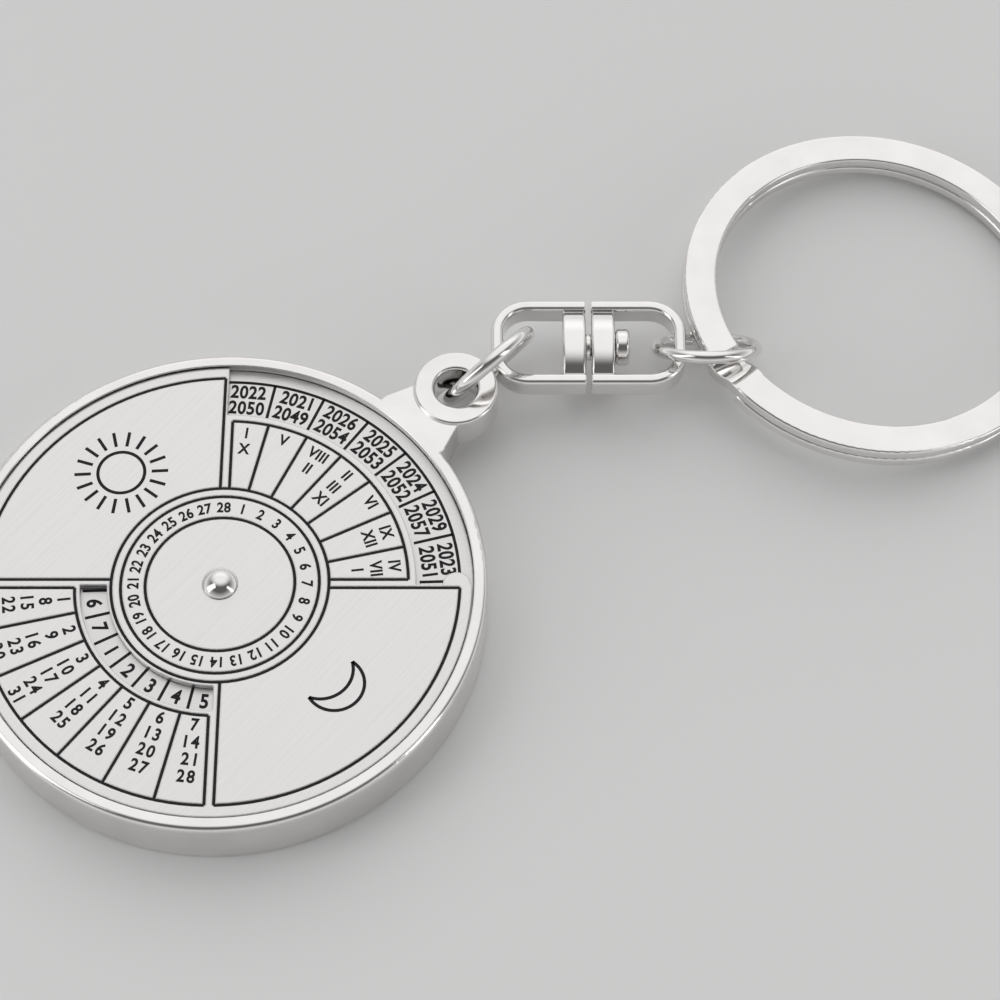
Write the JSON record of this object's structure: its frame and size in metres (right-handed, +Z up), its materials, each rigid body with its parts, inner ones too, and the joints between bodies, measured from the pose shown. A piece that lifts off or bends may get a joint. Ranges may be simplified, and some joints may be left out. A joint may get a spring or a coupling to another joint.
{
  "type": "perpetual calendar keyring",
  "caption": "Round pocket calendar with a turning date dial in a rimmed case, on a chain of wire links and a swivel that ends in a split key ring.",
  "frame": {"origin": "centre of the case's back, on the surface that the keyring lies on", "axes": "+Z up through the dial's rivet, +X from the case towards the split ring, with the dial's spokes along X and Y at rest"},
  "size_m": [0.0894, 0.0649, 0.0089],
  "materials": {
    "case_nickel": "polished nickel plate on cast zinc",
    "index_satin": "satin with printed black marks",
    "dial_satin": "brushed satin with black filled engraving",
    "spring_steel": "plain spring steel",
    "rivet_nickel": "polished nickel plate",
    "chain_nickel": "polished nickel plate",
    "ring_nickel": "polished nickel plate"
  },
  "bodies": {
    "case": {"case_shell": "case_nickel", "back_cover": "case_nickel", "index_plate": "index_satin", "friction_washer": "spring_steel", "centre_rivet": "rivet_nickel", "rivet_washer": "spring_steel"},
    "dial": {"dial_plate": "dial_satin"},
    "lug_link": {"lug_link": "chain_nickel"},
    "swivel_inner": {"swivel_frame_inner": "chain_nickel", "swivel_pin": "chain_nickel"},
    "swivel_outer": {"swivel_frame_outer": "chain_nickel"},
    "ring_link": {"ring_link": "chain_nickel"},
    "key_ring": {"split_ring": "ring_nickel"}
  },
  "joints": [
    {"name": "dial_turn", "type": "hinge", "parent": "case", "child": "dial", "pos_m": [0, 0, 0.0045], "axis": [0, 0, 1], "continuous": true},
    {"name": "lug_link_swing", "type": "hinge", "parent": "case", "child": "lug_link", "pos_m": [0.01816, 0.01754, 0.0021], "axis": [0, 0, 1], "range_deg": [-40, 40]},
    {"name": "swivel_yaw", "type": "hinge", "parent": "lug_link", "child": "swivel_inner", "pos_m": [0.02147, 0.02073, 0.00388], "axis": [0, 0, 1], "range_deg": [0, 50]},
    {"name": "swivel_spin", "type": "hinge", "parent": "swivel_inner", "child": "swivel_outer", "pos_m": [0.02867, 0.02223, 0.00388], "axis": [1, 0, 0], "continuous": true},
    {"name": "ring_link_turn", "type": "hinge", "parent": "swivel_outer", "child": "ring_link", "pos_m": [0.03852, 0.02223, 0.00383], "axis": [0, 0.7314, 0.682], "range_deg": [-40, 0]},
    {"name": "key_ring_tilt", "type": "hinge", "parent": "ring_link", "child": "key_ring", "pos_m": [0.0394, 0.02223, 0.00378], "axis": [0.4067, -0.9135, 0], "range_deg": [-50, 80]}
  ]
}
